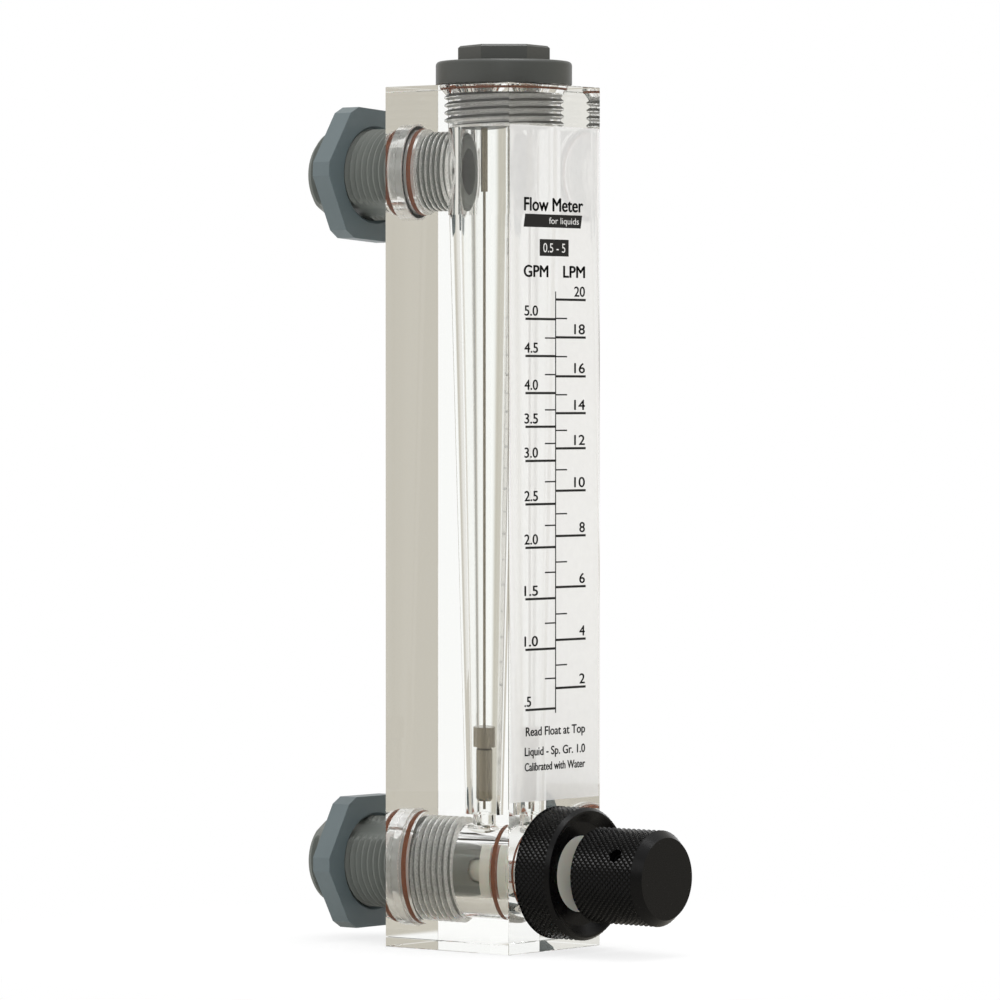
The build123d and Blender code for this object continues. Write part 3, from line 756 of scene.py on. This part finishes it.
# %% Retaining ring
ring_low, ring_high = box_mm("retaining_ring")
RING_R = (ring_high.x - ring_low.x) / 2
KNURL = 0.45
LAND = 0.05  # the plain bands beside the knurl are this much lower than its peaks
SLEEVE_WALL = 1.2
RING_HOLE_R = 9.1
DISH_R, DISH_FLOOR_R, DISH_DEPTH = 14.6, 12.3, 2.3
ring_body = [
    (RING_HOLE_R, front),
    (RING_R - 0.8, front),
    (RING_R - LAND, front - 0.5),
    (RING_R - LAND, front - 0.6),
    (RING_R - KNURL, front - 0.6),
    (RING_R - KNURL, ring_low.y + 1.0),
    (RING_R - LAND, ring_low.y + 1.0),
    (RING_R - 0.8, ring_low.y),
    (DISH_R, ring_low.y),
    (DISH_FLOOR_R, ring_low.y + DISH_DEPTH),
    (RING_HOLE_R, ring_low.y + DISH_DEPTH),
]
ring_knurl = knurled(on_valve, ring_low.y + 0.9, front - 0.5, RING_R, KNURL, RING_R - SLEEVE_WALL)
ring = join_shapes("retaining_ring_knurled", [turned(on_valve, ring_body, 192), ring_knurl])
finish_piece(ring, black_acetal, "meter", ["retaining_ring"], sharp=20)

# %% Knob
knob_low, knob_high = box_mm("valve_knob")
KNOB_R = (knob_high.x - knob_low.x) / 2
STEM_HOLE_R = 3.75
stem_hole_end = knob_high.y - 15.8
knob_body = [
    (STEM_HOLE_R, knob_high.y),
    (KNOB_R - 0.8, knob_high.y),
    (KNOB_R - LAND, knob_high.y - 0.6),
    (KNOB_R - KNURL, knob_high.y - 0.7),
    (KNOB_R - KNURL, knob_low.y + 2.2),
    (KNOB_R - LAND, knob_low.y + 2.2),
    (KNOB_R - 1.7, knob_low.y),
    (0, knob_low.y),
    (0, stem_hole_end),
    (STEM_HOLE_R, stem_hole_end),
]
knob_knurl = knurled(on_valve, knob_low.y + 2.1, knob_high.y - 0.6, KNOB_R, KNURL, KNOB_R - SLEEVE_WALL)
knob = new_object("knob_knurled", *turned(on_valve, knob_body, 160))
knob_sleeve = new_object("knob_sleeve", *knob_knurl)
print("knob radius %.2f, from %.2f to %.2f" % (KNOB_R, knob_low.y, knob_high.y))

# %% Set screw hole
screw_angle = math.radians(31)
screw_out = Vector((-math.cos(screw_angle), 0, math.sin(screw_angle)))
screw_across = Vector((0, 1, 0))
screw_up = screw_out.cross(screw_across)
screw_root = Vector((0, knob_high.y - 12.6, VALVE_Z))
SCREW_HOLE_R = 1.65


def on_screw(radius, angle, along):
    sideways = screw_across * math.cos(angle) + screw_up * math.sin(angle)
    return tuple(screw_root + screw_out * along + sideways * radius)


hole = turned(on_screw, [(0, 3.0), (SCREW_HOLE_R, 3.0), (SCREW_HOLE_R, 20), (0, 20)], 48)
cut(knob, new_object("screw_drill", *hole))
cut(knob_sleeve, new_object("screw_drill", *hole))
both = bmesh.new()
both.from_mesh(knob.data)
both.from_mesh(knob_sleeve.data)
both.to_mesh(knob.data)
both.free()
bpy.data.objects.remove(knob_sleeve)
finish_piece(knob, black_acetal, "knob", ["valve_knob"], sharp=20)

# %% Set screw with a hexagon socket
SCREW_R, SCREW_LENGTH = 1.6, 5.6
SOCKET_R, SOCKET_DEPTH = 0.92, 1.6
screw_top = STEM_HOLE_R + SCREW_LENGTH
screw_shape = [
    (0, STEM_HOLE_R),
    (1.3, STEM_HOLE_R),
    (SCREW_R, STEM_HOLE_R + 0.35),
    (SCREW_R, screw_top - 0.25),
    (1.35, screw_top),
    (0, screw_top),
]
socket_low, socket_high = screw_top - SOCKET_DEPTH, screw_top + 1
socket_shape = [(0, socket_low), (SOCKET_R, socket_low), (SOCKET_R, socket_high), (0, socket_high)]
screw = new_object("set_screw_socket", *turned(on_screw, screw_shape, 48))
cut(screw, new_object("socket", *turned(on_screw, socket_shape, 6)))
finish_piece(screw, black_oxide, "knob", ["knob_set_screw"])

# %% [markdown]
# ## Pieces whose solids are right as they are
# The nuts, seals, float, rod, stops, cartridge and stem keep their own solids and only get their finish.

# %% Finish the carried-over pieces
finishes = {
    "inlet_panel_nut": pvc_nut,
    "outlet_panel_nut": pvc_nut,
    "top_plug_seal": seal_rubber,
    "inlet_stud_seal": seal_rubber,
    "outlet_stud_seal": seal_rubber,
    "valve_cartridge_seal": seal_rubber,
    "valve_stem_seal": seal_rubber,
    "guide_rod": stainless,
    "upper_stop": stainless,
    "rod_end_stop": stainless,
    "float": stainless,
    "valve_cartridge": natural_plastic,
    "valve_stem": natural_plastic,
}
for node, finish in finishes.items():
    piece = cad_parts[node]
    piece.data.materials.clear()
    piece.data.materials.append(finish)
print("finished as they are:", len(finishes), "pieces")

# %% [markdown]
# ## The printed scale
# The scale is screen printed on the front face: litres to the right of a centre line,
# gallons to the left. The marks are not even, because each float and tube is calibrated, so
# the heights are the real ones in millimetres above the base. Each mark is a flat patch of
# ink a fiftieth of a millimetre proud, and the numbers are outlines of a plain typeface.

# %% Scale marks
INK_Y = front - 0.02
LITRE_HEIGHTS = (
    62.6, 68.1, 74.1, 80.3, 86.7, 92.7, 98.9, 104.2, 109.7, 114.7,
    119.8, 124.1, 128.2, 132.6, 137.0, 141.7, 146.3, 150.8, 155.3,
)
GALLON_HEIGHTS = (
    57.8, 65.0, 72.1, 78.2, 84.1, 90.3, 96.3, 101.5, 106.6, 111.9,
    116.9, 121.0, 125.0, 129.0, 133.0, 137.4, 141.8, 146.1, 150.6,
)
CENTRE = 0.3
LONG_HALF, SHORT_HALF = 0.28, 0.17  # half the height of a mark
marks = [(0.1, 0.5, 56.7, 157.2)]
for heights, long_end, short_end in ((LITRE_HEIGHTS, 11.9, 4.7), (GALLON_HEIGHTS, -11.2, -3.8)):
    for index, height in enumerate(heights):
        numbered = index % 2 == 0
        reach, half = (long_end, LONG_HALF) if numbered else (short_end, SHORT_HALF)
        marks.append((min(reach, CENTRE), max(reach, CENTRE), height - half, height + half))
corners, faces = [], []
for left, right, low, high in marks:
    first = len(corners)
    corners += [(left, INK_Y, low), (right, INK_Y, low), (right, INK_Y, high), (left, INK_Y, high)]
    faces.append([first, first + 1, first + 2, first + 3])
scale_marks = new_object("scale_marks", corners, faces)
finish_piece(scale_marks, ink, "meter")

# %% Type and meshes
CAP_SHARE = 0.73  # a capital's height, as a share of the type size


def new_words(words, cap):
    """A text object whose capitals are this many millimetres high."""
    curve = bpy.data.curves.new("type", "FONT")
    curve.body, curve.size = words, cap / CAP_SHARE
    thing = bpy.data.objects.new("type", curve)
    bpy.context.scene.collection.objects.link(thing)
    return thing


def flat_mesh(thing):
    bpy.context.view_layer.update()
    graph = bpy.context.evaluated_depsgraph_get()
    return bpy.data.meshes.new_from_object(thing.evaluated_get(graph))


def printed(name, mesh):
    piece = bpy.data.objects.new(name, mesh)
    bpy.context.scene.collection.objects.link(piece)
    return finish_piece(piece, ink, "meter")


# %% Numbers and words
def lettering(name, lines):
    """Lines of (words, left, right, foot, cap height, weight) as one flat mesh."""
    joined = bmesh.new()
    for words, left, right, foot, cap, weight in lines:
        thing = new_words(words, cap)
        flat = flat_mesh(thing)
        across = [corner.co.x for corner in flat.vertices]
        share = (right - left) / (max(across) - min(across))
        for corner in flat.vertices:
            corner.co = (left + (corner.co.x - min(across)) * share, INK_Y, foot + corner.co.y)
        for sideways, upward in ((0, 0), (-weight, 0), (weight, 0), (0, -weight / 2), (0, weight / 2)):
            shifted = flat.copy()
            shifted.transform(Matrix.Translation((sideways, 0, upward)))
            joined.from_mesh(shifted)
        bpy.data.objects.remove(thing)
    mesh = bpy.data.meshes.new(name)
    joined.to_mesh(mesh)
    joined.free()
    return printed(name, mesh)


BOLD, PLAIN = 0.15, 0.09
ABOVE_MARK = 0.8
NUMBER_CAP, DIGIT_WIDTH = 2.5, 2.0
lines = [("GPM", -11.7, -2.6, 160.6, 2.9, BOLD), ("LPM", 3.3, 11.5, 160.6, 2.9, BOLD)]
for index, height in enumerate(LITRE_HEIGHTS[::2]):
    words = str(2 * index + 2)
    lines.append((words, 11.5 - DIGIT_WIDTH * len(words), 11.5, height + ABOVE_MARK, NUMBER_CAP, PLAIN))
for index, height in enumerate(GALLON_HEIGHTS[::2]):
    words = ("%.1f" % (0.5 + index / 2)).lstrip("0")
    right = -9.1 if words == ".5" else -6.5
    lines.append((words, -11.5, right, height + ABOVE_MARK, NUMBER_CAP, PLAIN))
lines += [
    ("Flow Meter", -11.6, 10.8, 176.3, 3.3, BOLD),
    ("Read Float at Top", -11.0, 11.6, 51.6, 2.2, PLAIN),
    ("Liquid - Sp. Gr. 1.0", -11.4, 11.6, 46.9, 2.1, PLAIN),
    ("Calibrated with Water", -11.4, 11.6, 43.3, 2.0, PLAIN),
]
lettering("scale_lettering", lines)

# %% Words left open in black bars
def open_words(name, words, word_box, bar_box, slant):
    """A bar of ink with the words left out of it, so the light ground shows in them."""
    left, right, foot, cap = word_box
    outline = new_words(words, cap)
    chosen = [outline]
    with bpy.context.temp_override(
        object=outline, active_object=outline, selected_objects=chosen, selected_editable_objects=chosen
    ):
        bpy.ops.object.convert(target="CURVE")
    across = [point.co.x for spline in outline.data.splines for point in spline.bezier_points]
    start = min(across)
    share = (right - left) / (max(across) - start)
    bar_left, bar_right, bar_low, bar_high = bar_box
    bar_corners = (
        (bar_left, bar_low),
        (bar_right, bar_low),
        (bar_right + slant, bar_high),
        (bar_left + slant, bar_high),
    )
    edge = outline.data.splines.new("POLY")
    edge.points.add(len(bar_corners) - 1)
    for point, (x, z) in zip(edge.points, bar_corners):
        point.co = ((x - left) / share + start, z - foot, 0, 1)
    edge.use_cyclic_u = True
    flat = flat_mesh(outline)
    for corner in flat.vertices:
        corner.co = (left + (corner.co.x - start) * share, INK_Y, foot + corner.co.y)
    bpy.data.objects.remove(outline)
    return printed(name, flat)


open_words("bar_for_liquids", "for liquids", (-2.2, 9.2, 173.3, 1.6), (-11.9, 9.9, 172.4, 175.5), 0.6)
open_words("bar_range", "0.5 - 5", (-4.4, 4.0, 166.5, 2.3), (-5.8, 5.3, 165.6, 169.6), 0.0)

# %% [markdown]
# ### The white ground behind the print
# The print has a thin milky ground under it, so that the marks read clearly in front of the
# bore. It lets some of the picture behind it through and scatters the light from the back.

# %% Milky ground
MILK = linear("FDFCFA")
SHARE_BACK = 0.7  # of the light that it scatters, what comes back to the side it came from
milk = bpy.data.materials.new("screen_ink_milky")
milk.use_nodes = True
tree = milk.node_tree
tree.nodes.clear()
density = wandering(tree, 2, 0.77, 0.8)
clear = add_node(tree, "ShaderNodeBsdfTransparent")
through = add_node(tree, "ShaderNodeBsdfTranslucent", {"Color": MILK})
back = add_node(tree, "ShaderNodeBsdfDiffuse", {"Color": MILK})
scatter = add_node(
    tree, "ShaderNodeMixShader", {0: SHARE_BACK}, {1: through.outputs["BSDF"], 2: back.outputs["BSDF"]}
)
blend = add_node(
    tree, "ShaderNodeMixShader", {}, {0: density, 1: clear.outputs["BSDF"], 2: scatter.outputs["Shader"]}
)
add_node(tree, "ShaderNodeOutputMaterial", {}, {"Surface": blend.outputs["Shader"]})

ground_y, ground_side, ground_low, ground_high = front - 0.01, 17.0, 36.0, 196.5
ground_corners = [
    (-ground_side, ground_y, ground_low),
    (ground_side, ground_y, ground_low),
    (ground_side, ground_y, ground_high),
    (-ground_side, ground_y, ground_high),
]
finish_piece(new_object("scale_ground", ground_corners, [[0, 1, 2, 3]]), milk, "meter")

# %% [markdown]
# ## Studio
# A white backdrop stands behind the meter, and the room round it is a warm gray. The clear
# block has no colour of its own: its left face shows the room, folded round by total
# reflection at the rear face. The bore's edges bend the view to the room as well.

# %% World
def by_direction(tree, direction, toward, start, full):
    """How much a direction points toward another, from none to all of it."""
    turn = add_node(tree, "ShaderNodeVectorMath", {"operation": "DOT_PRODUCT", 1: toward}, {0: direction})
    return add_node(
        tree,
        "ShaderNodeMapRange",
        {"interpolation_type": "SMOOTHSTEP", "From Min": start, "From Max": full, "To Min": 0.0, "To Max": 1.0},
        {"Value": turn.outputs["Value"]},
    ).outputs["Result"]


WHITE = "FFFFFF"
WARM_GRAY = "C6C1B6"
BEHIND = (0.777, 0.63, 0.0)
BEHIND_START, BEHIND_FULL = 0.72, 0.9
world = bpy.data.worlds.new("studio")
bpy.context.scene.world = world
world.use_nodes = True
tree = world.node_tree
tree.nodes.clear()
direction = add_node(tree, "ShaderNodeTexCoord").outputs["Generated"]
dim_room = mixed(tree, by_direction(tree, direction, (-0.5, -0.866, 0.0), 0.2, 0.9), WARM_GRAY, "A5A39D")
lit_wall = mixed(tree, by_direction(tree, direction, (-0.777, 0.63, 0.0), 0.6, 0.95), dim_room, "EAE8E4")
ceiling = mixed(tree, by_direction(tree, direction, (0.0, 0.0, 1.0), 0.4, 0.9), lit_wall, WHITE)
room = mixed(tree, by_direction(tree, direction, BEHIND, BEHIND_START, BEHIND_FULL), ceiling, WHITE)
rays = add_node(tree, "ShaderNodeLightPath").outputs
links = {0: rays["Diffuse Depth"]}
not_lighting = add_node(tree, "ShaderNodeMath", {"operation": "LESS_THAN", 1: 0.5}, links)
links = {0: rays["Is Transmission Ray"], 1: rays["Is Glossy Ray"]}
bent = add_node(tree, "ShaderNodeMath", {"operation": "MAXIMUM"}, links)
links = {0: not_lighting.outputs["Value"], 1: bent.outputs["Value"]}
looked_at = add_node(tree, "ShaderNodeMath", {"operation": "MULTIPLY"}, links)
sky = mixed(tree, looked_at.outputs["Value"], WHITE, room)
light = add_node(tree, "ShaderNodeBackground", {"Strength": 1.0}, {"Color": sky})
add_node(tree, "ShaderNodeOutputWorld", {}, {"Surface": light.outputs["Background"]})
print("world:", len(tree.nodes), "nodes")

# %% [markdown]
# ## Floor, lamps and camera
# The floor is pale and keeps a soft shadow. The long lens stands far off, which keeps the
# block's edges nearly parallel.

# %% Floor
FLOOR_R = 0.6
SHADOW_NEAR, SHADOW_FAR = 0.03, 0.14  # metres from the middle, between them the glow takes over
floor_material = bpy.data.materials.new("floor_paper")
floor_material.use_nodes = True
tree = floor_material.node_tree
tree.nodes.clear()
paper = add_node(tree, "ShaderNodeBsdfDiffuse", {"Color": linear("EFEFEF")})
spot = add_node(tree, "ShaderNodeTexCoord").outputs["Object"]
outward = add_node(tree, "ShaderNodeVectorMath", {"operation": "NORMALIZE"}, {0: spot}).outputs["Vector"]
beyond = mixed(tree, by_direction(tree, outward, BEHIND, BEHIND_START, BEHIND_FULL), WARM_GRAY, WHITE)
rays = add_node(tree, "ShaderNodeLightPath").outputs
glow_colour = mixed(tree, rays["Is Camera Ray"], beyond, WHITE)
glow = add_node(tree, "ShaderNodeEmission", {"Strength": 1.0}, {"Color": glow_colour})
away = add_node(tree, "ShaderNodeVectorMath", {"operation": "LENGTH"}, {0: spot}).outputs["Value"]
settings = {"From Min": SHADOW_NEAR, "From Max": SHADOW_FAR, "To Min": 0.75, "To Max": 1.0}
fade = add_node(tree, "ShaderNodeMapRange", settings, {"Value": away}).outputs["Result"]
tinted = add_node(tree, "ShaderNodeBsdfDiffuse", {}, {"Color": glow_colour})
seen = add_node(
    tree, "ShaderNodeMixShader", {}, {0: fade, 1: tinted.outputs["BSDF"], 2: glow.outputs["Emission"]}
)
links = {0: rays["Is Camera Ray"], 1: rays["Is Transmission Ray"]}
seen_straight = add_node(tree, "ShaderNodeMath", {"operation": "MAXIMUM"}, links)
links = {0: seen_straight.outputs["Value"], 1: rays["Is Glossy Ray"]}
seen_at_all = add_node(tree, "ShaderNodeMath", {"operation": "MAXIMUM"}, links)
links = {0: seen_at_all.outputs["Value"], 1: paper.outputs["BSDF"], 2: seen.outputs["Shader"]}
both = add_node(tree, "ShaderNodeMixShader", {}, links)
add_node(tree, "ShaderNodeOutputMaterial", {}, {"Surface": both.outputs["Shader"]})
bpy.ops.mesh.primitive_circle_add(vertices=96, radius=FLOOR_R, fill_type="NGON", location=(0, 0, -0.0001))
floor = bpy.context.object
floor.name = "floor"
floor.data.materials.append(floor_material)
print("floor radius, metres:", FLOOR_R)

# %% Lamps
AIM = Vector((0, 0, 0.1))


def softbox(name, spot, size, watts):
    """A square lamp that faces the meter, in metres and watts."""
    lamp = bpy.data.lights.new(name, "AREA")
    lamp.shape, lamp.size, lamp.energy = "SQUARE", size, watts
    thing = bpy.data.objects.new(name, lamp)
    bpy.context.scene.collection.objects.link(thing)
    thing.location = spot
    thing.rotation_mode = "QUATERNION"
    thing.rotation_quaternion = (AIM - Vector(spot)).to_track_quat("-Z", "Y")
    print("lamp:", name, size, "m,", watts, "W")


softbox("key", (-0.9, -0.7, 0.6), 0.5, 1)
softbox("top", (0.1, -0.1, 1.4), 0.6, 6)

# %% Camera
HALF_HEIGHT = (block_high.z - block_low.z) / 2
DISTANCE, SIDESTEP, LIFT = 1471.57, 1.7395, 4.1016
SENSOR, LENS_LENGTHS = 36.0, 6.12144  # the lens is this many sensor widths long
azimuth, rise = math.radians(-50.9735), math.radians(1.0017)
back = Vector((math.sin(azimuth) * math.cos(rise), -math.cos(azimuth) * math.cos(rise), math.sin(rise)))
right = Vector((math.cos(azimuth), math.sin(azimuth), 0))
up = back.cross(right)
stand = Vector((0, 0, HALF_HEIGHT + LIFT)) + back * DISTANCE + right * SIDESTEP
lens = bpy.data.cameras.new("camera")
lens.sensor_width, lens.lens = SENSOR, SENSOR * LENS_LENGTHS
lens.clip_start, lens.clip_end = 0.05, 50
camera = bpy.data.objects.new("camera", lens)
bpy.context.scene.collection.objects.link(camera)
camera.matrix_world = Matrix.Translation(stand * MM) @ Matrix((right, up, back)).transposed().to_4x4()
bpy.context.scene.camera = camera
bpy.context.scene.view_settings.view_transform = "Standard"
print("camera at, metres:", [round(v, 4) for v in stand * MM])
